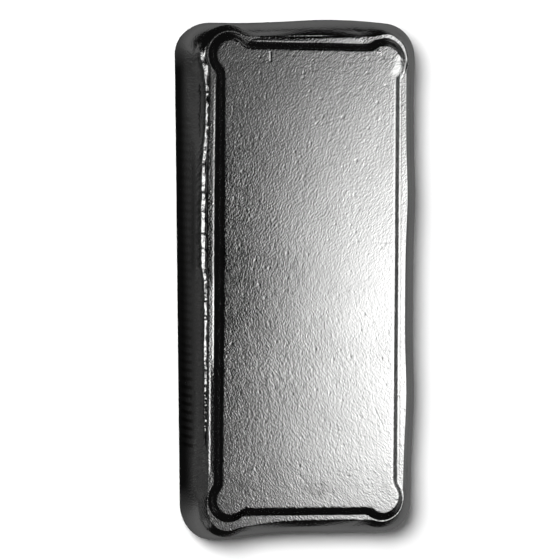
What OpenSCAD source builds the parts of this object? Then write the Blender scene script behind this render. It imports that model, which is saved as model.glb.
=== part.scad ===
// Cast and pressed metal ingot. Millimetres. The long axis is X, the width is Y and
// the panelled face looks up +Z. The underside rests on Z = 0.

/* [Body] */
// nominal length at the widest level
body_length = 113.8; // [60:0.1:200]
// nominal width at the widest level
body_width = 54.9; // [35:0.1:100]
// height of the panel's top over the underside
thickness = 16.35; // [8:0.1:40]
// corner radius in plan at the widest level
body_corner_radius = 6.6; // [5:0.1:12]
// height at which the body is widest
widest_height = 8.2; // [5:0.1:10]

/* [Panel] */
// height of the raised panel over the land
panel_height = 0.9; // [0.2:0.05:2]
// plan width of the panel's sloped edge
panel_slope_width = 1.65; // [0.4:0.05:2.5]
// foot radii of the four lobes: +X +Y, -X +Y, -X -Y, +X -Y
lobe_radii = [5.15, 5.4, 5.05, 4.95]; // [4:0.05:6.5]
// distance of each lobe's centre inside its two foot lines, in the same order
lobe_insets = [3.85, 4.1, 3.1, 3.55]; // [2.8:0.05:4.9]
// radius of the hollow blend between a lobe and a foot line
lobe_blend_radius = 1.5; // [0.5:0.1:3]

/* [Margins] */
// panel foot to widest level, at the -X end
margin_back = 4.2; // [3.5:0.05:9]
// panel foot to widest level, at the +X end
margin_front = 4.15; // [3.5:0.05:9]
// panel foot to widest level, on the -Y side at mid-length
margin_right = 5.6; // [4.5:0.05:10]
// panel foot to widest level, on the +Y side
margin_left = 5.5; // [4.5:0.05:10]
// how much wider the -Y side is at the -X end than at the +X end
right_taper = 2.1; // [0:0.1:3]

/* [Land] */
// width of the flat land at the -X end
land_back = 1.05; // [0.5:0.05:2.5]
// width of the flat land at the +X end
land_front = 1.15; // [0.5:0.05:2.5]
// width of the flat land on the -Y side
land_right = 1.4; // [0.5:0.05:2.5]
// width of the flat land on the +Y side
land_left = 1.35; // [0.5:0.05:2.5]
// corner radius of the land's outer line
land_corner_radius = 4.2; // [2:0.1:6]
// least width of land left round a lobe
land_pinch = 0.25; // [0.1:0.05:0.5]

/* [Walls] */
// plan width of the first slope below the land
shoulder_width = 1.4; // [0.3:0.05:2]
// depth of that first slope
shoulder_depth = 1.2; // [0.4:0.05:3]
// how far the flat underside stands inside the widest level
base_inset = 3.2; // [1.5:0.1:4]
// corner radius of the underside's outline
base_corner_radius = 4.5; // [3:0.1:8]

/* [Waves] */
// height of the two swells on the +Y side
side_swell = 0.45; // [0:0.05:1]
// half width of each side swell along X
side_swell_width = 9; // [5:0.5:15]
// how far the +Y side draws in toward the +X end
side_draw = 0.3; // [0:0.05:1]
// height of the swell on the -X end
back_swell = 1.35; // [0:0.05:1.5]
// height of the same swell on the land's outer line
back_land_swell = 0.6; // [0:0.05:1.5]
// half width of that swell along Y
back_swell_width = 16; // [5:0.5:20]
// height of the swell on the +X end, beside the -Y corner
front_swell = 1.3; // [0:0.05:1.5]
// height of the same swell on the land's outer line
front_land_swell = 1.8; // [0:0.05:2]
// half width of that swell along Y
front_swell_width = 11; // [5:0.5:15]

/* [Detail] */
// steps along a lobe's arc
lobe_steps = 10; // [6:1:16]
// steps along a blend's arc
blend_steps = 3; // [2:1:6]
// steps along a long side
long_steps = 18; // [10:1:30]
// steps along an end
end_steps = 9; // [5:1:15]
// steps of the bulged wall, above and below the widest level
wall_steps = 5; // [3:1:8]

/* [Hidden] */

silver = [0.84, 0.84, 0.83];

// the four sides in turn: +X, +Y, -X, -Y
margins = [margin_front, margin_left, margin_back, margin_right];
lands = [land_front, land_left, land_back, land_right];

foot_length = body_length - margin_back - margin_front;
foot_width = body_width - margin_left - margin_right;
corner_signs = [[1, 1], [-1, 1], [-1, -1], [1, -1]];
lobe_centres = [
    for (q = [0 : 3])
        [
            corner_signs[q][0] * (foot_length / 2 - lobe_insets[q]),
            corner_signs[q][1] * (foot_width / 2 - lobe_insets[q])
        ]
];

land_z = thickness - panel_height;
shoulder_z = land_z - shoulder_depth;
widest_z = widest_height;

// a blend's centre keeps its place whatever the inset of the outline
blend_outs = [for (inset = lobe_insets) inset + lobe_blend_radius];
blend_backs = [
    for (q = [0 : 3])
        sqrt(pow(lobe_radii[q] + lobe_blend_radius, 2) - pow(blend_outs[q], 2))
];
corner_count = 2 * blend_steps + lobe_steps + 1;

// steps along the straight run after each corner
run_steps = [long_steps, end_steps, long_steps, end_steps];

// where the swells stand, as shares of the half length or half width
swell_places = [-0.33, 0.45];
draw_start = 0.55;
back_swell_place = 0.34;
front_swell_place = -0.75;

// outline round one lobe, about the lobe's centre, in from the foot line by inset
function lobe_outline(q, inset) =
    let (
        blend = lobe_blend_radius + inset,
        lobe = lobe_radii[q] - inset,
        blend_out = blend_outs[q],
        blend_back = blend_backs[q],
        lobe_start = -atan2(blend_back, blend_out)
    )
    [
        for (i = [0 : blend_steps - 1])
            let (a = 180 + lobe_start * i / blend_steps)
            [blend_out + blend * cos(a), -blend_back + blend * sin(a)],
        for (i = [0 : lobe_steps])
            let (a = lobe_start + (90 - 2 * lobe_start) * i / lobe_steps)
            [lobe * cos(a), lobe * sin(a)],
        for (i = [1 : blend_steps])
            let (a = -90 - lobe_start + lobe_start * i / blend_steps)
            [-blend_back + blend * cos(a), blend_out + blend * sin(a)]
    ];

corner_angles = [
    for (q = [0 : 3])
        [for (p = lobe_outline(q, 0)) atan2(p[1], p[0])]
];

// distance from a lobe's centre to a rounded corner whose sides stand ex and ey away
function reach(ex, ey, radius, a) =
    let (
        c = cos(a),
        s = sin(a),
        along = (ex - radius) * c + (ey - radius) * s,
        square = pow(ex - radius, 2) + pow(ey - radius, 2)
    )
    c > 0 && ex * s / c <= ey - radius ? ex / c
    : s > 0 && ey * c / s <= ex - radius ? ey / s
    : along + sqrt(pow(radius, 2) - square + pow(along, 2));

function turned(p, quarter) =
    quarter == 0 ? p
    : quarter == 1 ? [-p[1], p[0]]
    : quarter == 2 ? [-p[0], -p[1]]
    : [p[1], -p[0]];

// a rounded outline standing out from the foot lines by the four given distances
function rounded_corner(outs, radius, least, quarter) = [
    for (a = corner_angles[quarter])
        let (
            ex = lobe_insets[quarter] + outs[quarter],
            ey = lobe_insets[quarter] + outs[(quarter + 1) % 4],
            far = max(reach(ex, ey, radius, a), least)
        )
        [far * cos(a), far * sin(a)]
];

// joins four corners with straight runs of evenly spaced points; the run after corner 0
// is the +Y side and the run after corner 1 is the -X end
function closed_outline(corners) =
    let (
        placed = [
            for (q = [0 : 3])
                [for (p = corners[q]) lobe_centres[q] + turned(p, q)]
        ]
    )
    [
        for (q = [0 : 3])
            let (
                last = placed[q][corner_count - 1],
                next = placed[(q + 1) % 4][0]
            )
            each concat(
                placed[q],
                [
                    for (i = [1 : run_steps[q] - 1])
                        last + (next - last) * i / run_steps[q]
                ]
            )
    ];

function swell(at, place, width) = exp(-pow((at - place) / width, 2));

function smooth(t) =
    let (u = min(max(t, 0), 1))
    u * u * (3 - 2 * u);

half_length = body_length / 2;
half_width = body_width / 2;

// how quickly a wave dies away round the corner from its own side or end
side_wave_power = 4;
end_wave_power = 8;

// moves a point of an outline by the waves of the nearest side; inside is how far the
// outline stands in from the widest level, and ends has the -X and +X swells' heights
function waved(p, inside, taper, ends) =
    let (
        on_side = pow(min(abs(p[1]) / (half_width - inside), 1), side_wave_power),
        on_end = pow(min(abs(p[0]) / (half_length - inside), 1), end_wave_power),
        swells = side_swell * (
            swell(p[0], swell_places[0] * half_length, side_swell_width)
            + swell(p[0], swell_places[1] * half_length, side_swell_width)
        ),
        draw = side_draw * smooth((p[0] / half_length - draw_start) / (1 - draw_start)),
        left = swells - draw,
        right = taper / 2 * p[0] / half_length,
        back = ends[0] * swell(p[1], back_swell_place * half_width, back_swell_width),
        front = ends[1] * swell(p[1], front_swell_place * half_width, front_swell_width)
    )
    [
        p[0] + on_end * (p[0] > 0 ? front : -back),
        p[1] + on_side * (p[1] > 0 ? left : right)
    ];

land_line = closed_outline([
    for (q = [0 : 3])
        rounded_corner(lands, land_corner_radius, lobe_radii[q] + land_pinch, q)
]);
widest_line = [
    for (p = closed_outline([
        for (q = [0 : 3]) rounded_corner(margins, body_corner_radius, 0, q)
    ]))
        waved(p, 0, right_taper, [back_swell, front_swell])
];
base_line = [
    for (p = closed_outline([
        for (q = [0 : 3])
            rounded_corner([for (m = margins) m - base_inset], base_corner_radius, 0, q)
    ]))
        waved(p, base_inset, right_taper, [back_swell, front_swell])
];

// the -Y land keeps its width, because only the wall outside it tapers
land_outer = [
    for (p = land_line)
        waved(p, margin_left - land_left, 0, [back_land_swell, front_land_swell])
];

function panel_ring(inset, z) = [
    for (p = closed_outline([for (q = [0 : 3]) lobe_outline(q, inset)]))
        [p[0], p[1], z]
];

function blend_ring(inner, outer, share, z) = [
    for (i = [0 : len(inner) - 1])
        let (p = inner[i] + share * (outer[i] - inner[i]))
        [p[0], p[1], z]
];

// the sloped edge as pairs of inset share and height share, eased at both ends
slope_profile = [[1.12, 1], [1, 0.96], [0.82, 0.82], [0.24, 0.15], [0.09, 0.03], [0, 0]];

// the bulge starts at the shoulder's own slope and ends upright at the widest level
bulge_start = 38;
base_start = 22;
function bulge_out(a, first) = (sin(a) - sin(first)) / (1 - sin(first));
function bulge_up(a, first) = cos(a) / cos(first);

// the shoulder takes at most this share of the way out to the widest level, and its
// middle ring stands at these shares of its width and its depth
shoulder_limit = 0.8;
shoulder_middle = [0.5, 0.46];

shoulder_line = [
    for (i = [0 : len(land_outer) - 1])
        let (
            across = widest_line[i] - land_outer[i],
            share = min(shoulder_width / norm(across), shoulder_limit)
        )
        land_outer[i] + share * across
];

rings = concat(
    [
        for (s = slope_profile)
            panel_ring(panel_slope_width * s[0], land_z + panel_height * s[1])
    ],
    [
        blend_ring(land_outer, shoulder_line, 0, land_z),
        blend_ring(
            land_outer,
            shoulder_line,
            shoulder_middle[0],
            land_z - shoulder_depth * shoulder_middle[1]
        )
    ],
    [
        for (i = [0 : wall_steps])
            let (a = bulge_start + (90 - bulge_start) * i / wall_steps)
            blend_ring(
                shoulder_line,
                widest_line,
                bulge_out(a, bulge_start),
                widest_z + (shoulder_z - widest_z) * bulge_up(a, bulge_start)
            )
    ],
    [
        for (i = [wall_steps - 1 : -1 : 0])
            let (a = base_start + (90 - base_start) * i / wall_steps)
            blend_ring(
                base_line,
                widest_line,
                bulge_out(a, base_start),
                widest_z * (1 - bulge_up(a, base_start))
            )
    ]
);

ring_size = len(land_line);
ring_count = len(rings);

// the origin goes to the middle of the whole body's outline
all_x = [for (p = widest_line) p[0]];
all_y = [for (p = widest_line) p[1]];
middle = [(max(all_x) + min(all_x)) / 2, (max(all_y) + min(all_y)) / 2, 0];

wall_points = [for (r = rings) each [for (p = r) p - middle]];

// the points that close the top and the base come after the rings' own
top_centres = [for (c = lobe_centres) [c[0], c[1], thickness] - middle];
first_centre = ring_count * ring_size;
base_centre = first_centre + 4;

// where each corner starts in a ring, and where the last run ends
corner_starts = [
    0,
    corner_count + run_steps[0] - 1,
    2 * corner_count + run_steps[0] + run_steps[1] - 2,
    3 * corner_count + run_steps[0] + run_steps[1] + run_steps[2] - 3,
    ring_size
];

// the panel's top is fanned from the centre of each lobe, which sees its own lobe and the
// run after it, and is closed by four triangles and a four-sided middle
top_faces = [
    for (q = [0 : 3])
        let (
            centre = first_centre + q,
            next_centre = first_centre + (q + 1) % 4
        )
        each [
            for (i = [corner_starts[q] : corner_starts[q + 1] - 1])
                [centre, (i + 1) % ring_size, i],
            [centre, next_centre, corner_starts[q + 1] % ring_size]
        ],
    [first_centre, first_centre + 3, first_centre + 2],
    [first_centre, first_centre + 2, first_centre + 1]
];

wall_faces = [
    for (r = [0 : ring_count - 2], i = [0 : ring_size - 1])
        let (
            j = (i + 1) % ring_size,
            a = r * ring_size,
            b = a + ring_size
        )
        each [[a + i, a + j, b + j], [a + i, b + j, b + i]]
];

base_faces = [
    for (i = [0 : ring_size - 1])
        let (a = (ring_count - 1) * ring_size)
        [base_centre, a + i, a + (i + 1) % ring_size]
];

module ingot() {
    color(silver)
        polyhedron(
            points = concat(wall_points, top_centres, [[0, 0, 0]]),
            faces = concat(top_faces, wall_faces, base_faces),
            convexity = 4
        );
}

ingot();
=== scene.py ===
"""Blank cast and pressed silver ingot lying on a pale studio floor.

The ingot's sizes are in millimetres until its mesh is made. The material, the camera, the cards
and the lamps are in metres."""
import math

import bpy
import numpy as np
from mathutils import Matrix, Vector, geometry


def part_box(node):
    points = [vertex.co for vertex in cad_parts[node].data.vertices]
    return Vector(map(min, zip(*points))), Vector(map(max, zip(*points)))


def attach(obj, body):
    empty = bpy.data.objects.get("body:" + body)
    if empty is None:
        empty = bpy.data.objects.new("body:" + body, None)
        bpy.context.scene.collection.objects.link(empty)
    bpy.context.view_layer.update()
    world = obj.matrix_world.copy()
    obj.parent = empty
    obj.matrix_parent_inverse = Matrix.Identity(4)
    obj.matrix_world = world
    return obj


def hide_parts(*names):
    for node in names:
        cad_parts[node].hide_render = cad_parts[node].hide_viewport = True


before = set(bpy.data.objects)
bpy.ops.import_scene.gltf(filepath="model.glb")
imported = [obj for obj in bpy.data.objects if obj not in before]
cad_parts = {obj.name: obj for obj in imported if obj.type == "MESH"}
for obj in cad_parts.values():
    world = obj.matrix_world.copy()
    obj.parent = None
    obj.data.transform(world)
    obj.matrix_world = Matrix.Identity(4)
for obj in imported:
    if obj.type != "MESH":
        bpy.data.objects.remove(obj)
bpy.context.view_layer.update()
box_low, box_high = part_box("ingot")

MM = 0.001

# ---------------------------------------------------------------- the CAD model's sizes
BODY_LENGTH = 113.8
BODY_WIDTH = 54.9
THICKNESS = (box_high.z - box_low.z) / MM
BODY_CORNER_RADIUS = 6.6
WIDEST_HEIGHT = 8.2

PANEL_HEIGHT = 0.9
PANEL_SLOPE_WIDTH = 1.65
# the four corners in turn: +X +Y, -X +Y, -X -Y, +X -Y
SIGNS = ((1, 1), (-1, 1), (-1, -1), (1, -1))
LOBE_RADII = (5.15, 5.4, 5.05, 4.95)
LOBE_INSETS = (3.85, 4.1, 3.1, 3.55)
LOBE_BLEND_RADIUS = 1.5

# the four sides in turn: +X, +Y, -X, -Y
MARGINS = (4.15, 5.5, 4.2, 5.6)
LANDS = (1.15, 1.35, 1.05, 1.4)
LAND_CORNER_RADIUS = 4.2
LAND_PINCH = 0.25
RIGHT_TAPER = 2.1
SHOULDER_WIDTH = 1.4
SHOULDER_DEPTH = 1.2
LEAST_WALL_SHARE = 0.2       # of the way out, left to the wall where the shoulder is squeezed
BASE_INSET = 3.2
BASE_CORNER_RADIUS = 4.5
BULGE_START, BASE_START = math.radians(38), math.radians(22)

SIDE_SWELL, SIDE_SWELL_WIDTH, SIDE_DRAW = 0.45, 9.0, 0.3
BACK_SWELL, BACK_LAND_SWELL, BACK_SWELL_WIDTH = 1.35, 0.6, 16.0
FRONT_SWELL, FRONT_LAND_SWELL, FRONT_SWELL_WIDTH = 1.3, 1.8, 11.0
SWELL_PLACES = (-0.33, 0.45)
DRAW_START, BACK_SWELL_PLACE, FRONT_SWELL_PLACE = 0.55, 0.34, -0.75

LAND_Z = THICKNESS - PANEL_HEIGHT
SHOULDER_Z = LAND_Z - SHOULDER_DEPTH
FOOT_LENGTH = BODY_LENGTH - MARGINS[2] - MARGINS[0]
FOOT_WIDTH = BODY_WIDTH - MARGINS[1] - MARGINS[3]
LOBE_CENTRES = [
    np.array([sx * (FOOT_LENGTH / 2 - i), sy * (FOOT_WIDTH / 2 - i)])
    for (sx, sy), i in zip(SIGNS, LOBE_INSETS)
]

# ---------------------------------------------------------------- how finely the mesh is cut
# points along the runs after each corner (+Y side, -X end, -Y side, +X end) and round a lobe
RUN_STEPS = (190, 66, 290, 66)
BLEND_STEPS, LOBE_STEPS = 4, 34
SLOPE_RINGS, SHOULDER_RINGS, WALL_RINGS = 17, 16, 12
LAND_SHARES = (0.12, 0.24, 0.36, 0.5, 0.64, 0.76, 0.86, 0.94, 1.0)
BASE_SHARES = (0.94, 0.7, 0.35)
SPACING, JITTER, MARK_SPACING = 0.36, 0.06, 0.13
RIM_CLEARANCE, MARK_RIM_CLEARANCE = 0.24, 0.12

# ---------------------------------------------------------------- sizes of the relief
# the panel's edge: how far in its rounding starts, and shares of the slope's width, from the foot
# at 0, with the share of the panel's height reached there
TOP_INSET = 2.1
TOP_CREASE = (
    (1.27, 1), (1.1, 0.988), (0.95, 0.945), (0.8, 0.81), (0.24, 0.15), (0.09, 0.03), (0, 0),
)
GRAIN_HEIGHT = 0.006
UNEVENNESS = 0.016
PIT_COUNT, PIT_SIZES, PIT_DEPTHS = 620, (0.26, 0.42), (0.008, 0.022)
PIT_MARGIN, PIT_REACH = 3, 2
BEVEL_DEPTH = 0.15
# straight marks in the panel's skin: from, to, half width, depth (negative stands proud)
SCRATCHES = (
    ((-51.0, -9.6), (-48.4, -9.5), 0.13, 0.10),
    ((-8.4, 15.6), (-8.2, 19.0), 0.10, 0.03),
    ((11.4, 14.9), (11.5, 18.8), 0.10, 0.03),
    ((16.0, 16.4), (16.1, 19.2), 0.10, 0.035),
    ((16.9, 15.2), (16.9, 18.4), 0.09, 0.025),
    ((19.8, 15.8), (20.0, 19.0), 0.10, 0.03),
    ((28.6, 15.6), (32.4, 17.6), 0.11, 0.03),
    ((-51.3, 14.3), (-50.9, 16.6), 0.16, -0.06),
    ((-50.2, 16.9), (-49.4, 17.5), 0.14, 0.05),
    ((43.6, -2.2), (46.2, 0.2), 0.10, 0.025),
)
MARK_REACH = 3               # half widths of a mark that are cut more finely

RUN_FADE = 0.03              # share of a run over which its relief fades at each end
LAND_GRAIN, DRAWN_LINES = 0.003, 0.006
LEFT_GROOVE = 0.022
BACK_RISE, BACK_TILT, BACK_ROLL_OFF, END_ROLL_OFF = 0.085, 0.09, 0.1, 0.03
SAG_SLOPE, SAG_START, SAG_GRAIN, SAG_SPREAD = 0.07, 17.5, 0.012, 0.35
FRONT_RIM, FRONT_KNOCK = 0.02, 0.03
RIGHT_GROOVE, RIGHT_RISE, RIGHT_LEAN = 0.085, 0.07, 0.085
RIGHT_LINE, RIGHT_KNOB = 0.06, 0.12

BEAD_PITCH = 1.72            # from bead to bead of the lip
LIP_SLOPE, CREST_LEVEL = 0.36, -0.05
BEAD_NOTCH, LIP_GRAIN, CHIP_DEPTH = 0.22, 0.1, 0.25
# places along the -Y side, and the shares of the shoulder's width where the lip's gap and its
# flank end there
LIP_PLACES = (-52, -44, -38, -33, -28, -24, -12, -8, -3, 0, 3, 25)
GAP_ENDS = (0.25, 0.2, 0.15, 0.2, 0.35, 0.38, 0.36, 0.36, 0.3, 0.2, 0.18, 0.18)
CREST_ENDS = (0.97, 0.92, 0.85, 0.85, 0.95, 0.96, 0.96, 0.95, 0.92, 0.75, 0.68, 0.65)
# how far the lip and the land's edge stand out toward -Y there
LIP_SHIFTS = (0.3, 0.45, 0.3, 0.35, 0.7, 0.9, 0.9, 0.8, 0.75, 0.35, 0.25, 0.25)
LAND_SHIFTS = (0, 0.05, 0.05, 0.1, 0.35, 0.4, 0.4, 0.35, 0.35, 0.15, 0.05, 0.05)
SHOULDER_KNOCKS = 0.03

LADDER_PITCH, LADDER_LEAN, LADDER_HEIGHT = 1.86, 1.4, 0.03
WALL_WAVES, WALL_GRAIN = 0.025, 0.005

# dark patches on the panel: how dark, middle, width along X and Y
DIRT_PATCHES = (
    (0.5, (47.0, 2.5), (1.6, 3.2)),
    (0.4, (46.0, -15.6), (2.0, 1.6)),
    (0.35, (-25.6, 5.6), (0.5, 0.5)),
)
# how dark the mask makes the metal: painted shade at the panel's foot on the +Y side, dirt along
# the lip, painted shade on the ripples' crests
FOOT_SHADE, LIP_DIRT, LADDER_SHADE = 0.5, 0.12, 0.95

# ---------------------------------------------------------------- the silver, in metres
DARK_SILVER, PALE_SILVER = (0.86, 0.86, 0.855, 1), (0.95, 0.95, 0.945, 1)
# the colour toward which the dirt and the painted shade darken the silver
DIRT_AND_SHADE_COLOUR = (0.30, 0.29, 0.28, 1)
ROUGHNESS = (0.12, 0.19)
RIDGE_HEIGHT, RIDGE_WIDTH, RIDGE_LENGTHS = 0.000052, 0.00036, (0.00052, 0.0005)
LEAN_TURNS = (-0.014, 0.016)  # the X between which the ridges turn to their other lean
SPECK_DEPTH, SPECK_SCALE = 0.00003, 420
FINE_HEIGHT, FINE_SCALE = 0.000026, 3600

# ---------------------------------------------------------------- camera and lights, in metres
ELEVATION = math.radians(70)
DISTANCE = 1.2
FRAME_WIDTH = 0.1256         # what the frame takes in at the ingot's middle height
SENSOR_WIDTH = 36            # in mm
ROLL = math.radians(0.38)
PANEL_OFFSET = (6.53, -0.24)  # the panel's middle right of and below the frame's middle, in mm

FULL = 2.0                   # the cards' ramps are held below one by this factor
CARD_RISE = 0.110            # of the softbox over the panel
CARD_X, CARD_Y = 0.22, 0.36
CARD_OFFSET = 0.13           # of the softbox's middle from the panel's image, toward +Y
FLOOR_GREY, STUDIO_GREY = 0.93, 0.004


# ---------------------------------------------------------------- soft steps and noise
def smooth(t):
    t = np.clip(t, 0.0, 1.0)
    return t * t * (3 - 2 * t)


def step(value, start, end):
    """From 0 at start to 1 at end, with soft ends."""
    return smooth((value - start) / (end - start))


def slant(value, start, end):
    """From 0 at start to 1 at end, in a straight line."""
    return np.clip((value - start) / (end - start), 0.0, 1.0)


def swell(at, place, width):
    return np.exp(-(((at - place) / width) ** 2))


def table_noise(seed):
    """Smooth noise between -1 and 1 from a seeded table."""
    table = np.random.RandomState(seed).rand(512, 512) * 2 - 1

    def noise(u, v):
        i, j = np.floor(u).astype(int), np.floor(v).astype(int)
        fu, fv = smooth(u - i), smooth(v - j)
        i, j, k, m = i % 512, j % 512, (i + 1) % 512, (j + 1) % 512
        top = table[i, j] * (1 - fu) + table[k, j] * fu
        low = table[i, m] * (1 - fu) + table[k, m] * fu
        return top * (1 - fv) + low * fv

    return noise


grain_a, grain_b, patch, rough_noise, lip_noise, wall_noise = (
    table_noise(seed) for seed in (11, 12, 13, 14, 15, 16)
)


# ---------------------------------------------------------------- outlines
def lobe_outline(q, inset):
    """A lobe and the blends on both sides of it, seen from its centre."""
    neck, lobe = LOBE_BLEND_RADIUS + inset, LOBE_RADII[q] - inset
    out = LOBE_INSETS[q] + LOBE_BLEND_RADIUS
    back = math.sqrt((LOBE_RADII[q] + LOBE_BLEND_RADIUS) ** 2 - out**2)
    start = -math.atan2(back, out)
    first = math.pi + start * np.arange(BLEND_STEPS) / BLEND_STEPS
    arc = start + (math.pi / 2 - 2 * start) * np.arange(LOBE_STEPS + 1) / LOBE_STEPS
    last = -math.pi / 2 - start + start * np.arange(1, BLEND_STEPS + 1) / BLEND_STEPS
    return np.vstack([
        np.c_[out + neck * np.cos(first), -back + neck * np.sin(first)],
        np.c_[lobe * np.cos(arc), lobe * np.sin(arc)],
        np.c_[-back + neck * np.cos(last), out + neck * np.sin(last)],
    ])


def turned(points, q):
    c, s = ((1, 0), (0, 1), (-1, 0), (0, -1))[q]
    return np.c_[c * points[:, 0] - s * points[:, 1], s * points[:, 0] + c * points[:, 1]]


def reach(ex, ey, radius, angle):
    """How far a ray from the lobe's centre runs to sides at ex and ey with a rounded corner."""
    c, s = math.cos(angle), math.sin(angle)
    if c > 0 and ex * s / c <= ey - radius:
        return ex / c
    if s > 0 and ey * c / s <= ex - radius:
        return ey / s
    run = (ex - radius) * c + (ey - radius) * s
    return run + math.sqrt(radius**2 - (ex - radius) ** 2 - (ey - radius) ** 2 + run**2)


def rounded_corner(outs, radius, least, q):
    """A corner with a point on the ray of each of the lobe's points, at least so far out."""
    foot = lobe_outline(q, 0.0)
    ex, ey = LOBE_INSETS[q] + outs[q], LOBE_INSETS[q] + outs[(q + 1) % 4]
    angles = np.arctan2(foot[:, 1], foot[:, 0])
    far = np.array([max(reach(ex, ey, radius, a), least) for a in angles])
    return np.c_[far * np.cos(angles), far * np.sin(angles)]


def closed_outline(corners):
    placed = [LOBE_CENTRES[q] + turned(corners[q], q) for q in range(4)]
    pieces = []
    for q in range(4):
        last, following = placed[q][-1], placed[(q + 1) % 4][0]
        t = (np.arange(1, RUN_STEPS[q]) / RUN_STEPS[q])[:, None]
        pieces += [placed[q], last + (following - last) * t]
    return np.vstack(pieces)


def panel_outline(inset):
    return closed_outline([lobe_outline(q, inset) for q in range(4)])


def rounded_outline(outs, radius):
    return closed_outline([rounded_corner(outs, radius, 0, q) for q in range(4)])


def waved(points, inside, taper, ends):
    """The outline with its uneven edges: swells and a draw-in at +Y, a taper at -Y and a swell on
    each end; inside is how far the outline lies within the widest one."""
    hl, hw = BODY_LENGTH / 2, BODY_WIDTH / 2
    x, y = points.T
    on_side = np.minimum(np.abs(y) / (hw - inside), 1) ** 4
    on_end = np.minimum(np.abs(x) / (hl - inside), 1) ** 8
    swells = SIDE_SWELL * sum(swell(x, s * hl, SIDE_SWELL_WIDTH) for s in SWELL_PLACES)
    left = swells - SIDE_DRAW * step(x / hl, DRAW_START, 1)
    right = taper / 2 * x / hl
    back = ends[0] * swell(y, BACK_SWELL_PLACE * hw, BACK_SWELL_WIDTH)
    front = ends[1] * swell(y, FRONT_SWELL_PLACE * hw, FRONT_SWELL_WIDTH)
    return np.c_[
        x + on_end * np.where(x > 0, front, -back),
        y + on_side * np.where(y > 0, left, right),
    ]


land_line = closed_outline(
    [rounded_corner(LANDS, LAND_CORNER_RADIUS, LOBE_RADII[q] + LAND_PINCH, q) for q in range(4)]
)
land_outer = waved(land_line, MARGINS[1] - LANDS[1], 0, (BACK_LAND_SWELL, FRONT_LAND_SWELL))
widest_line = waved(
    rounded_outline(MARGINS, BODY_CORNER_RADIUS), 0, RIGHT_TAPER, (BACK_SWELL, FRONT_SWELL)
)
base_line = waved(
    rounded_outline([m - BASE_INSET for m in MARGINS], BASE_CORNER_RADIUS),
    BASE_INSET, RIGHT_TAPER, (BACK_SWELL, FRONT_SWELL),
)
across = widest_line - land_outer
shoulder_share = np.minimum(
    SHOULDER_WIDTH / np.linalg.norm(across, axis=1), 1 - LEAST_WALL_SHARE
)
shoulder_line = land_outer + shoulder_share[:, None] * across
middle = (widest_line.max(0) + widest_line.min(0)) / 2


# ---------------------------------------------------------------- rings of the outer surface
PANEL, SLOPE, LAND, SHOULDER, UPPER, LOWER, BASE = range(7)


def eased(points, t):
    """Height along a run of (share, height) pairs, joined without corners."""
    s, h = np.array(points, float)[::-1].T
    slope = np.gradient(h, s)
    slope[0] = slope[-1] = 0
    i = np.clip(np.searchsorted(s, t) - 1, 0, len(s) - 2)
    w = s[i + 1] - s[i]
    u = (t - s[i]) / w
    return (
        (2 * u**3 - 3 * u**2 + 1) * h[i] + (u**3 - 2 * u**2 + u) * w * slope[i]
        + (3 * u**2 - 2 * u**3) * h[i + 1] + (u**3 - u**2) * w * slope[i + 1]
    )


def shoulder_drop(t):
    """How far the shoulder falls below the land at a share of its width."""
    return SHOULDER_DEPTH * (0.84 * t + 0.16 * t**2)


def bulge(start, t):
    """Shares of the way out and of the height left, along a bulge that begins at an angle."""
    a = start + (math.pi / 2 - start) * t
    outward = (math.sin(a) - math.sin(start)) / (1 - math.sin(start))
    return outward, math.cos(a) / math.cos(start)


def between(a, b, t):
    return a + t * (b - a)


def surface_rings():
    """Rings from the panel's edge out and down to the base: outline, height, zone and share."""
    for t in np.linspace(TOP_INSET / PANEL_SLOPE_WIDTH, 0, SLOPE_RINGS):
        z = LAND_Z + PANEL_HEIGHT * eased(TOP_CREASE, t)
        yield panel_outline(PANEL_SLOPE_WIDTH * t), z, SLOPE, t
    foot_line = panel_outline(0.0)
    for t in LAND_SHARES:
        yield between(foot_line, land_outer, t), LAND_Z, LAND, t
    for t in np.linspace(0, 1, SHOULDER_RINGS + 1)[1:]:
        yield between(land_outer, shoulder_line, t), LAND_Z - shoulder_drop(t), SHOULDER, t
    for t in np.linspace(0, 1, WALL_RINGS + 1)[1:]:
        outward, left = bulge(BULGE_START, t)
        z = WIDEST_HEIGHT + (SHOULDER_Z - WIDEST_HEIGHT) * left
        yield between(shoulder_line, widest_line, outward), z, UPPER, t
    for t in np.linspace(1, 0, WALL_RINGS + 1)[1:]:
        outward, left = bulge(BASE_START, t)
        yield between(base_line, widest_line, outward), WIDEST_HEIGHT * (1 - left), LOWER, 1 - t
    for t in BASE_SHARES:
        yield base_line * t, 0.0, BASE, t


outlines, heights, zones, shares = zip(*surface_rings())
ring_count, ring_size = len(outlines), len(outlines[0])


# ---------------------------------------------------------------- points of the panel's flat
def inside_panel(x, y, inset):
    held = (np.abs(x) < FOOT_LENGTH / 2 - inset) & (np.abs(y) < FOOT_WIDTH / 2 - inset)
    for (cx, cy), radius in zip(LOBE_CENTRES, LOBE_RADII):
        held |= np.hypot(x - cx, y - cy) < radius - inset
    return held


def off_line(x, y, start, end):
    """Distance from a straight stretch."""
    a, b = np.array(start), np.array(end)
    run = b - a
    t = np.clip(((x - a[0]) * run[0] + (y - a[1]) * run[1]) / run.dot(run), 0, 1)
    return np.hypot(x - a[0] - t * run[0], y - a[1] - t * run[1])


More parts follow.
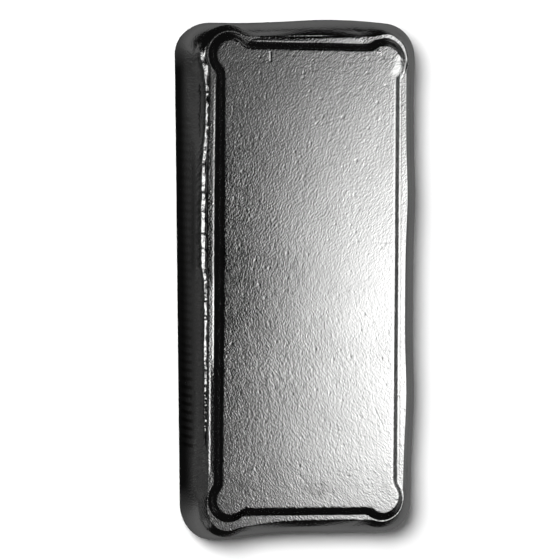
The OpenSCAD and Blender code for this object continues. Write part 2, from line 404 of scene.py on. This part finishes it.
def panel_field():
    """A jittered lattice over the flat, cut more finely along each straight mark."""
    over = 3
    rows = np.arange(-FOOT_WIDTH / 2, FOOT_WIDTH / 2 + over, SPACING * 0.866)
    columns = np.arange(-FOOT_LENGTH / 2 - over, FOOT_LENGTH / 2 + over, SPACING)
    x, y = np.meshgrid(columns, rows)
    x = x + (np.arange(len(rows)) % 2)[:, None] * SPACING / 2
    jitter = np.random.RandomState(21).uniform(-JITTER, JITTER, (2,) + x.shape)
    x, y = (x + jitter[0]).ravel(), (y + jitter[1]).ravel()
    keep = inside_panel(x, y, TOP_INSET + RIM_CLEARANCE)
    for start, end, half, _ in SCRATCHES:
        keep &= off_line(x, y, start, end) > MARK_REACH * half + 0.1
    fields = [np.c_[x[keep], y[keep]]]
    for start, end, half, _ in SCRATCHES:
        around = MARK_REACH * half
        lows, highs = np.minimum(start, end) - around, np.maximum(start, end) + around
        x, y = (grid.ravel() for grid in np.meshgrid(
            np.arange(lows[0], highs[0], MARK_SPACING), np.arange(lows[1], highs[1], MARK_SPACING)
        ))
        near = off_line(x, y, start, end) < around
        near &= inside_panel(x, y, TOP_INSET + MARK_RIM_CLEARANCE)
        fields.append(np.c_[x[near], y[near]])
    return np.vstack(fields)


field = panel_field()
rim_edges = [(i, (i + 1) % ring_size) for i in range(ring_size)]
_, _, flat_faces, flat_from, _, _ = geometry.delaunay_2d_cdt(
    [Vector(point) for point in np.vstack([outlines[0], field])], rim_edges, [], 1, 1e-7
)

# ---------------------------------------------------------------- one vertex list with its zones
wall_count = ring_count * ring_size
base_middle = wall_count + len(field)
xy = np.vstack([*outlines, field, [[0.0, 0.0]]])
z = np.concatenate([np.repeat(heights, ring_size), np.full(len(field), THICKNESS), [0.0]])
zone = np.concatenate([np.repeat(zones, ring_size), np.full(len(field), PANEL), [BASE]])
share = np.concatenate([np.repeat(shares, ring_size), np.zeros(len(field) + 1)])
index = np.concatenate([np.tile(np.arange(ring_size), ring_count), np.full(len(field) + 1, -1)])


def vertex_of(flat_vertex):
    """The vertex that a point of the flat's triangulation came from."""
    k = flat_from[flat_vertex][0]
    return k if k < ring_size else wall_count + k - ring_size


faces = []
for upper in range(0, wall_count - ring_size, ring_size):
    lower = upper + ring_size
    faces += [(upper + i, lower + i, lower + j, upper + j) for i, j in rim_edges]
last_ring = wall_count - ring_size
faces += [(last_ring + j, last_ring + i, base_middle) for i, j in rim_edges]
faces += [tuple(vertex_of(v) for v in face) for face in flat_faces]

# ---------------------------------------------------------------- relief
x, y = xy.T.copy()
lift = np.zeros(len(xy))    # along +Z
push = np.zeros(len(xy))    # along the surface's own normal
on_top = (zone == PANEL) | (zone == SLOPE)
on_land = (zone == LAND).astype(float)
on_shoulder = (zone == SHOULDER).astype(float)
on_wall = ((zone == UPPER) | (zone == LOWER)).astype(float)


def run_mask(q):
    """One along the run after corner q, fading out at its ends."""
    start = sum(RUN_STEPS[:q]) - q + (q + 1) * (2 * BLEND_STEPS + LOBE_STEPS + 1)
    t = (index - start) / (RUN_STEPS[q] - 2.0)
    faded = step(t, 0, RUN_FADE) * step(t, 1, 1 - RUN_FADE)
    return faded * ((t >= 0) & (t <= 1) & (index >= 0))


left_run, back_run, right_run, front_run = (run_mask(q) for q in range(4))

# coarse grain of the cast skin: short slanted ridges that lean one way at one end and the other
# way at the other end; the finer grain is in the material
lean = step(x, -14, 14)
ua, va = (x + y) * 0.7071, (x - y) * 0.7071
leaning_a = grain_a(ua / 0.6, va / 0.85) + 0.5 * grain_b(ua / 0.45, va / 0.6)
leaning_b = grain_b(va / 0.6, ua / 0.85) + 0.5 * grain_a(va / 0.45, ua / 0.6)
grain_strength = 0.75 + 0.45 * patch(x / 9, y / 9)
on_flat = on_top * np.where(zone == SLOPE, step(share, 0.75, 1.1), 1)
lift += on_flat * GRAIN_HEIGHT * grain_strength * (leaning_a * (1 - lean) + leaning_b * lean)
lift += on_flat * UNEVENNESS * (patch(x / 14 + 5, y / 14 + 5) + 0.4 * patch(x / 6, y / 6 + 9))

# pits and blisters scattered on the panel
scatter = np.random.RandomState(31)
panel_points = np.flatnonzero(zone == PANEL)
for _ in range(PIT_COUNT):
    cx = scatter.uniform(-FOOT_LENGTH / 2 + PIT_MARGIN, FOOT_LENGTH / 2 - PIT_MARGIN)
    cy = scatter.uniform(-FOOT_WIDTH / 2 + PIT_MARGIN, FOOT_WIDTH / 2 - PIT_MARGIN)
    size = scatter.uniform(*PIT_SIZES)
    depth = scatter.choice([-1, -1, 1]) * scatter.uniform(*PIT_DEPTHS)
    near = panel_points[
        (np.abs(x[panel_points] - cx) < PIT_REACH) & (np.abs(y[panel_points] - cy) < PIT_REACH)
    ]
    lift[near] += depth * swell(x[near], cx, size) * swell(y[near], cy, size)
for start, end, half, depth in SCRATCHES:
    off = off_line(x[panel_points], y[panel_points], start, end)
    lift[panel_points] -= depth * swell(off, 0, half)

# the panel's edge is knocked to a gentle bevel on the +Y side of its -X lobe
from_centre = np.hypot(x - LOBE_CENTRES[1][0], y - LOBE_CENTRES[1][1])
bevel = step(from_centre, 2.1, 3.9) * step(from_centre, 5.0, 3.9)
bevel *= step(y, 19.2, 20.4) * step(x, -50.2, -49.0) * step(x, -44.4, -46.6)
lift -= BEVEL_DEPTH * bevel * on_top * (1 + 0.25 * lip_noise(x / 0.9, y / 0.9))

# the land: faint grain, and on the +Y side long fine drawn lines and a groove at the panel's foot
land = LAND_GRAIN * rough_noise(x / 0.6, y / 0.6) * step(share, 0, 1 / 3)
land += left_run * DRAWN_LINES * rough_noise(x / 7, share * 5 + 2)
land -= left_run * LEFT_GROOVE * step(share, 0.34, 0)
# on the -X end its inner half runs up into the panel's foot, away from +Y; toward +Y it leans
# in; its outer edge rolls off into the shoulder, most of all at the middle
land += back_run * step(y, 3.5, -3.5) * BACK_RISE * slant(share, 0.62, 0)
land += back_run * step(y, 1, 9) * BACK_TILT * slant(share, 0, 0.7)
land -= back_run * swell(y, 2.0, 9.0) * BACK_ROLL_OFF * slant(share, 0.62, 1)
land -= (back_run + front_run) * END_ROLL_OFF * step(share, 0.8, 1)
# round the -X end's +Y lobe it sags toward the corner
sag = step(y, 16.5, 18.5) * step(x, -46.5, -48.5)
land -= sag * SAG_SLOPE * (y - SAG_START)
land += sag * SAG_GRAIN * lip_noise(x / 0.35, y / 0.35)
# on the +X end, knocks and a raised outer edge near the -Y corner
land += front_run * FRONT_RIM * step(share, 0.55, 0.95) * step(y, -8, -13)
land -= front_run * FRONT_KNOCK * swell(y, -15.2, 1.0) * (0.5 + lip_noise(x / 0.5, y / 0.5))
# on the -Y side: a shallow groove at the panel's foot, and past mid-length a leaning land with a
# thin raised line near its outer edge, which ends in a knob
upper_end = step(x, 24, 16)
lined = (1 - upper_end) * step(x, 45.5, 44)
land -= right_run * upper_end * RIGHT_GROOVE * slant(share, 0.36, 0)
land += right_run * upper_end * step(x, -1, 3) * RIGHT_RISE * share
land -= right_run * (1 - upper_end) * RIGHT_LEAN * slant(share, 0, 0.6)
land += right_run * lined * RIGHT_LINE * step(share, 0.62, 0.82)
land += right_run * lined * RIGHT_KNOB * swell(x, 44.6, 0.35) * step(share, 0, 0.5)
lift += on_land * land

# crimped lip on the -Y shoulder: a gap, then a flank that rises outward to an uneven crest
# before it drops to the wall; nearly whole toward -X, in beads past mid-length, then chips
phase = x / BEAD_PITCH + 0.3 * lip_noise(x / 6, 3)
bead = np.abs(np.sin(math.pi * phase)) ** 0.6
beaded = 0.25 + 0.75 * step(x, -31, -26)
chips = step(x, 24, 28) * (bead < 0.8)
notches = BEAD_NOTCH * (1 - bead) * beaded + LIP_GRAIN * lip_noise(x / 0.8, 5)
crest = CREST_LEVEL - notches - CHIP_DEPTH * chips
gap_end = np.interp(x, LIP_PLACES, GAP_ENDS) + 0.03 * lip_noise(x / 3, 8)
crest_end = np.interp(x, LIP_PLACES, CREST_ENDS)
crest_end += 0.05 * lip_noise(x / 0.9, 0) - 0.08 * (1 - bead) * beaded
rise = LIP_SLOPE * SHOULDER_WIDTH
flank = crest - rise * (crest_end - share) * (1 + 0.5 * lip_noise(x / 0.7, share * 3))
gap = (crest - rise * (crest_end - gap_end)) * smooth(share / gap_end)
lip_top = np.where(share < gap_end, gap, flank)
drop = shoulder_drop(share)
fall = step(share, crest_end, crest_end + 0.1)
lip_top = lip_top * (1 - fall) + np.minimum(lip_top, -drop) * fall
alive = (y < -14) * step(x, 41, 29) * step(x, -52.6, -50.2)
lift += on_shoulder * alive * (lip_top + drop)

# the lip, the land's edge and the top of the wall below them stand out toward -Y
lip_shift = np.interp(x, LIP_PLACES, LIP_SHIFTS)
land_shift = np.interp(x, LIP_PLACES, LAND_SHIFTS)
shift_y = on_land * land_shift * share + on_shoulder * between(land_shift, lip_shift, share)
shift_y = -alive * (shift_y + (zone == UPPER) * lip_shift * step(share, 0.45, 0))
# the land stands wider round the -X end's +Y lobe, halfway between -X and +Y
wide = 0.7 * SAG_SPREAD * sag * (on_land * share + on_shoulder * (1 - share))
shift_x = -wide
shift_y += wide

# fine knocks in the shoulder beyond the lip's far end
knocks = SHOULDER_KNOCKS * rough_noise(x / 0.45, share * 6)
lift += on_shoulder * right_run * step(x, 30, 38) * knocks

# ladder of shallow ripples up the -Y wall, strongest toward +X
level = np.where(zone == UPPER, share * 0.5, 0.5 + share * 0.5)
ladder = np.sin(
    2 * math.pi * (x + LADDER_LEAN * level) / LADDER_PITCH + 0.8 * wall_noise(x / 5, level * 3)
)
rungs = on_wall * right_run * (0.35 + 0.65 * step(x, 5, 30))
rungs *= step(level, 0.14, 0.24) * step(level, 0.6, 0.45)
push += LADDER_HEIGHT * rungs * ladder
off_base = on_wall * step(z, 0, 1.5)
push += off_base * WALL_WAVES * wall_noise(x / 4, y / 4 + level * 3)
push += off_base * WALL_GRAIN * rough_noise(x / 0.7 + 9, y / 0.7 + level * 8)

# dirt and painted shade: a soft mask that darkens the metal: dirt in a few places on the panel
# and along the lip, painted shade in the crease at the panel's foot on the +Y side and on the
# crests of the ripples
dirt_and_shade = sum(
    dark * swell(x, at[0], wide_by[0]) * swell(y, at[1], wide_by[1])
    for dark, at, wide_by in DIRT_PATCHES
)
dirt_and_shade *= (zone == PANEL) * (0.7 + 0.5 * patch(x / 1.2, y / 1.2))
# painted shade in the crease between the panel's slope and the land on the +Y side
dirt_and_shade += FOOT_SHADE * on_land * left_run * step(share, 0.3, 0.1)
dirt_and_shade += LIP_DIRT * on_shoulder * alive
# painted shade on the crests of the ripples up the -Y wall
dirt_and_shade += LADDER_SHADE * rungs * step(ladder, -0.1, 0.6)

# ---------------------------------------------------------------- the mesh
verts = np.c_[x + shift_x - middle[0], y + shift_y - middle[1], z + lift]
mesh = bpy.data.meshes.new("ingot_skin")
mesh.from_pydata((verts * MM).tolist(), [], faces)
mesh.update()
normals = np.empty(len(mesh.vertices) * 3)
mesh.vertices.foreach_get("normal", normals)
verts += normals.reshape(-1, 3) * push[:, None]
mesh.vertices.foreach_set("co", (verts * MM).ravel())
mesh.attributes.new("dirt_and_shade", "FLOAT", "POINT").data.foreach_set("value", dirt_and_shade)
mesh.update()
mesh.shade_smooth()
skin = bpy.data.objects.new("ingot_skin", mesh)
bpy.context.collection.objects.link(skin)


# ---------------------------------------------------------------- the silver
def grey(value):
    return (value, value, value, 1)


class Graph:
    """The nodes of a new material."""

    def __init__(self, name):
        self.material = bpy.data.materials.new(name)
        self.material.use_nodes = True
        self.tree = self.material.node_tree
        self.tree.nodes.clear()

    def feed(self, socket, given):
        """Links a socket to another one, or sets its constant."""
        if isinstance(given, bpy.types.NodeSocket):
            self.tree.links.new(given, socket)
        else:
            socket.default_value = given

    def add(self, kind, **inputs):
        """A node with its inputs fed; an underscore stands for a space in an input's name."""
        node = self.tree.nodes.new(kind)
        for name, given in inputs.items():
            self.feed(node.inputs[name.replace("_", " ")], given)
        return node

    def finish(self, shader):
        self.add("ShaderNodeOutputMaterial", Surface=shader)
        return self.material

    def place(self):
        return self.add("ShaderNodeTexCoord").outputs["Object"]

    def split(self, vector):
        return self.add("ShaderNodeSeparateXYZ", Vector=vector).outputs

    def noise(self, vector, scale, detail):
        node = self.add("ShaderNodeTexNoise", Vector=vector, Scale=scale, Detail=detail)
        return node.outputs["Fac"]

    def ranged(self, value, low, high, to_low=0, to_high=1):
        node = self.add(
            "ShaderNodeMapRange",
            Value=value, From_Min=low, From_Max=high, To_Min=to_low, To_Max=to_high,
        )
        return node.outputs["Result"]

    def ramp(self, value, stops):
        """Colours along a value; stops are two or more pairs of place and colour."""
        node = self.add("ShaderNodeValToRGB", Fac=value)
        elements = node.color_ramp.elements
        for element, (at, colour) in ((elements[0], stops[0]), (elements[1], stops[-1])):
            element.position = at
            element.color = colour
        for at, colour in stops[1:-1]:
            elements.new(at).color = colour
        return node.outputs["Color"]

    def mixed(self, kind, factor, a, b):
        """Mix of two values (FLOAT) or two colours (RGBA)."""
        node = self.add("ShaderNodeMix")
        node.data_type = kind
        a_socket, b_socket, result = {"FLOAT": (2, 3, 0), "RGBA": (6, 7, 2)}[kind]
        for socket, given in ((0, factor), (a_socket, a), (b_socket, b)):
            self.feed(node.inputs[socket], given)
        return node.outputs[result]

    def joined(self, kind, a, b):
        """Sum (ADD) or product (MULTIPLY) of two colours."""
        node = self.add("ShaderNodeMixRGB", Fac=1, Color1=a, Color2=b)
        node.blend_type = kind
        return node.outputs["Color"]

    def leaning_noise(self, vector, degrees, width, length):
        """Noise drawn out along a direction turned by the angle."""
        turn = self.add(
            "ShaderNodeMapping", Vector=vector, Rotation=(0, 0, math.radians(degrees))
        ).outputs["Vector"]
        stretch = self.add(
            "ShaderNodeMapping", Vector=turn, Scale=(1 / length, 1 / width, 1 / width)
        ).outputs["Vector"]
        return self.noise(stretch, 1, 1.5)

    def bumped(self, *bumps):
        """Bumps laid over each other, each a pair of its height's socket and its full height."""
        below = {}
        for height, full in bumps:
            node = self.add("ShaderNodeBump", Strength=1, Distance=full, Height=height, **below)
            below = {"Normal": node.outputs["Normal"]}
        return below["Normal"]


def make_silver():
    """Polished silver with a fine grain of slanted ridges, specks, and the mask of dirt and
    painted shade.
    """
    graph = Graph("silver")
    place = graph.place()
    tone = graph.ramp(graph.noise(place, 90, 4), [(0.3, DARK_SILVER), (0.65, PALE_SILVER)])
    # the mask darkens the silver with dirt and with painted shade
    mask = graph.add("ShaderNodeAttribute")
    mask.attribute_name = "dirt_and_shade"
    colour = graph.mixed("RGBA", mask.outputs["Fac"], tone, DIRT_AND_SHADE_COLOUR)
    roughness = graph.ranged(graph.noise(place, 260, 3), 0.3, 0.7, *ROUGHNESS)

    ridges = graph.mixed(
        "FLOAT",
        graph.ranged(graph.split(place)["X"], *LEAN_TURNS),
        graph.leaning_noise(place, 45, RIDGE_WIDTH, RIDGE_LENGTHS[0]),
        graph.leaning_noise(place, -45, RIDGE_WIDTH, RIDGE_LENGTHS[1]),
    )
    specks = graph.add("ShaderNodeTexVoronoi", Vector=place, Scale=SPECK_SCALE)
    normal = graph.bumped(
        (graph.ranged(specks.outputs["Distance"], 0.04, 0.2), SPECK_DEPTH),
        (graph.noise(place, FINE_SCALE, 1), FINE_HEIGHT),
        (ridges, RIDGE_HEIGHT),
    )
    shader = graph.add(
        "ShaderNodeBsdfPrincipled",
        Base_Color=colour, Metallic=1.0, Roughness=roughness, Normal=normal,
    )
    return graph.finish(shader.outputs["BSDF"])


mesh.materials.append(make_silver())
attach(skin, "root")
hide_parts("ingot")

# ---------------------------------------------------------------- camera
back = Vector((0, -math.cos(ELEVATION), math.sin(ELEVATION)))
level_right = Vector((0, math.sin(ELEVATION), math.cos(ELEVATION)))
level_down = Vector((1, 0, 0))
right = level_right * math.cos(ROLL) - level_down * math.sin(ROLL)
down = level_down * math.cos(ROLL) + level_right * math.sin(ROLL)
panel_middle = Vector((-middle[0] * MM, -middle[1] * MM, THICKNESS * MM))
aim = panel_middle - (right * PANEL_OFFSET[0] + down * PANEL_OFFSET[1]) * MM
middle_distance = DISTANCE + THICKNESS * MM / 2 * math.sin(ELEVATION)
camera_data = bpy.data.cameras.new("camera")
camera_data.sensor_width = SENSOR_WIDTH
camera_data.lens = SENSOR_WIDTH * middle_distance / FRAME_WIDTH
camera_data.clip_end = 20
camera = bpy.data.objects.new("camera", camera_data)
bpy.context.collection.objects.link(camera)
camera_place = Matrix((right, -down, back)).transposed().to_4x4()
camera_place.translation = aim + back * DISTANCE
camera.matrix_world = camera_place
bpy.context.scene.camera = camera


# ---------------------------------------------------------------- floor, cards and lamps
def plane(name, size_x, size_y, location, rotation=(0, 0, 0)):
    data = bpy.data.meshes.new(name)
    hx, hy = size_x / 2, size_y / 2
    data.from_pydata([(-hx, -hy, 0), (hx, -hy, 0), (hx, hy, 0), (-hx, hy, 0)], [], [(0, 1, 2, 3)])
    obj = bpy.data.objects.new(name, data)
    bpy.context.collection.objects.link(obj)
    obj.location, obj.rotation_euler = location, rotation
    return obj


def card(name, size, location, rotation, terms):
    """An emitting card that only mirrors see; each term is a pair of ramps along its two
    directions, multiplied, and the terms are added up."""
    obj = plane(name, *size, location, rotation)
    obj.visible_camera = obj.visible_diffuse = obj.visible_shadow = False
    obj.visible_transmission = obj.visible_volume_scatter = False
    graph = Graph(name)
    parts = graph.split(graph.place())
    places = [
        graph.ranged(parts[axis], -width / 2, width / 2) for axis, width in zip("XY", size)
    ]
    total = None
    for term in terms:
        ramps = []
        for stops, width, along_card in zip(term, size, places):
            shades = [
                (min(max(at / width + 0.5, 0), 1), grey(value / FULL**0.5)) for at, value in stops
            ]
            ramps.append(graph.ramp(along_card, shades))
        product = graph.joined("MULTIPLY", *ramps)
        total = graph.joined("ADD", total, product) if total else product
    light = graph.add("ShaderNodeEmission", Color=total, Strength=FULL)
    obj.data.materials.append(graph.finish(light.outputs["Emission"]))


floor = plane("floor", 8, 8, (0, 0, 0))
floor_graph = Graph("floor")
pale = floor_graph.add("ShaderNodeBsdfDiffuse", Color=grey(FLOOR_GREY))
floor.data.materials.append(floor_graph.finish(pale.outputs["BSDF"]))
floor.visible_glossy = False

# the softbox that the panel mirrors, over the panel's own image and out toward +Y; its places
# are given as shares of the panel, 0 at the -X edge to 1 at +X, and 0 at -Y to 1 at +Y
spread = 1 + CARD_RISE / math.sin(ELEVATION) / DISTANCE
image_length = (FOOT_LENGTH - 2 * PANEL_SLOPE_WIDTH) * MM * spread
image_width = (FOOT_WIDTH - 2 * PANEL_SLOPE_WIDTH) * MM * spread
card_y = CARD_RISE / math.tan(ELEVATION) + CARD_OFFSET


def along(*stops):
    return [((v - 0.5) * image_length, value) for v, value in stops]


def over(*stops):
    return [((u - 0.5) * image_width - CARD_OFFSET, value) for u, value in stops]


card("softbox", (CARD_X, CARD_Y), (0, card_y, THICKNESS * MM + CARD_RISE), (0, 0, 0), [
    (
        along((-0.16, 0), (0.0, 0.2), (0.1, 0.34), (0.2, 0.54), (0.33, 0.84), (0.46, 1.02),
              (0.62, 1.07), (0.8, 0.97), (0.9, 0.84), (0.97, 0.68), (1.1, 0.36), (1.2, 0)),
        over((0.32, 0), (0.39, 0.43), (0.44, 0.59), (0.52, 0.66), (0.7, 0.82),
             (0.92, 0.98), (1.1, 1.3), (1.6, 1.6), (3.2, 1.3), (7.5, 0.6)),
    ),
    (
        along((-0.13, 0), (0.0, 0.1), (0.14, 0.08), (0.24, 0.0), (0.56, 0.0), (0.7, 0.02),
              (0.9, 0.06), (1.0, 0.13), (1.12, 0.05), (1.2, 0)),
        over((-0.6, 0), (-0.25, 1), (0.3, 1), (0.7, 1.2), (3, 1), (4, 0.5)),
    ),
    (
        along((-0.24, 0), (-0.1, 0.6), (0.1, 0.5), (0.22, 0.2), (0.36, 0)),
        over((1.1, 0), (1.28, 1), (3, 1), (7, 0.6)),
    ),
])

# what the lower walls mirror in place of the floor: dim far away, with a painted contact shadow
# close to the -Y side
card("under_card", (3, 3), (0, 0, -0.002), (0, 0, 0), [
    (
        [(-0.062, 0), (-0.052, 1), (0.052, 1), (0.062, 0)],
        [(-1.5, 0.03), (-0.12, 0.03), (-0.06, 0.025), (-0.036, 0.004), (0.0, 0.004),
         (0.02, 0.12), (0.06, 0.13), (0.2, 0.06), (1.5, 0.05)],
    ),
    (
        [(-0.4, 0), (-0.14, 0.08), (-0.062, 0.12), (-0.052, 0), (0.052, 0), (0.062, 0.12),
         (0.14, 0.08), (0.4, 0)],
        [(-1.5, 1), (1.5, 1)],
    ),
])

# low bands of light along both long sides
upright = (math.pi / 2, 0, 0)
card("low_card_right", (1.6, 0.58), (0, -0.9, 0.29), upright, [
    (
        [(-0.7, 0), (-0.4, 0.045), (-0.03, 0.055), (-0.01, 0.03), (0.04, 0.02), (0.095, 0.018),
         (0.14, 0.05), (0.4, 0.05), (0.7, 0)],
        [(-0.29, 1), (0.04, 1), (0.14, 0)],
    ),
    (
        [(-0.7, 0), (-0.4, 0.045), (0, 0.055), (0.4, 0.06), (0.7, 0)],
        [(0.02, 0), (0.12, 1), (0.2, 1), (0.29, 0)],
    ),
])
card("low_card_left", (3, 0.46), (0, 0.9, 0.2), upright, [
    ([(-0.7, 0), (-0.35, 0.05), (0.35, 0.05), (0.7, 0)], [(-0.23, 1), (0.15, 1), (0.23, 0)]),
])

# two dim cards along the diagonals, for the views from the corners
for side, location in (("left", (-0.62, 0.66, 0.45)), ("right", (0.68, -0.68, 0.29))):
    facing = (-Vector(location)).to_track_quat("Z", "Y").to_euler()
    card("far_card_" + side, (0.56, 0.5), location, facing, [
        (
            [(-0.28, 0), (-0.12, 0.11), (0.12, 0.11), (0.28, 0)],
            [(-0.25, 0), (-0.1, 0.8), (0.1, 1.2), (0.25, 0)],
        ),
    ])

world = bpy.data.worlds.new("studio")
world.use_nodes = True
world.node_tree.nodes["Background"].inputs["Color"].default_value = grey(STUDIO_GREY)
bpy.context.scene.world = world


def lamp(name, size, energy, location):
    """A round lamp aimed at the ingot, which mirrors don't see."""
    data = bpy.data.lights.new(name, "AREA")
    data.shape = "DISK"
    data.size = size
    data.energy = energy
    obj = bpy.data.objects.new(name, data)
    bpy.context.collection.objects.link(obj)
    obj.location = location
    obj.rotation_euler = (-Vector(location)).to_track_quat("-Z", "Y").to_euler()
    obj.visible_glossy = False


lamp("key", 0.40, 16.5, (-0.19, -0.54, 1.0))
lamp("fill", 1.6, 1.9, (0, 0, 0.9))

bpy.context.scene.view_settings.view_transform = "Standard"
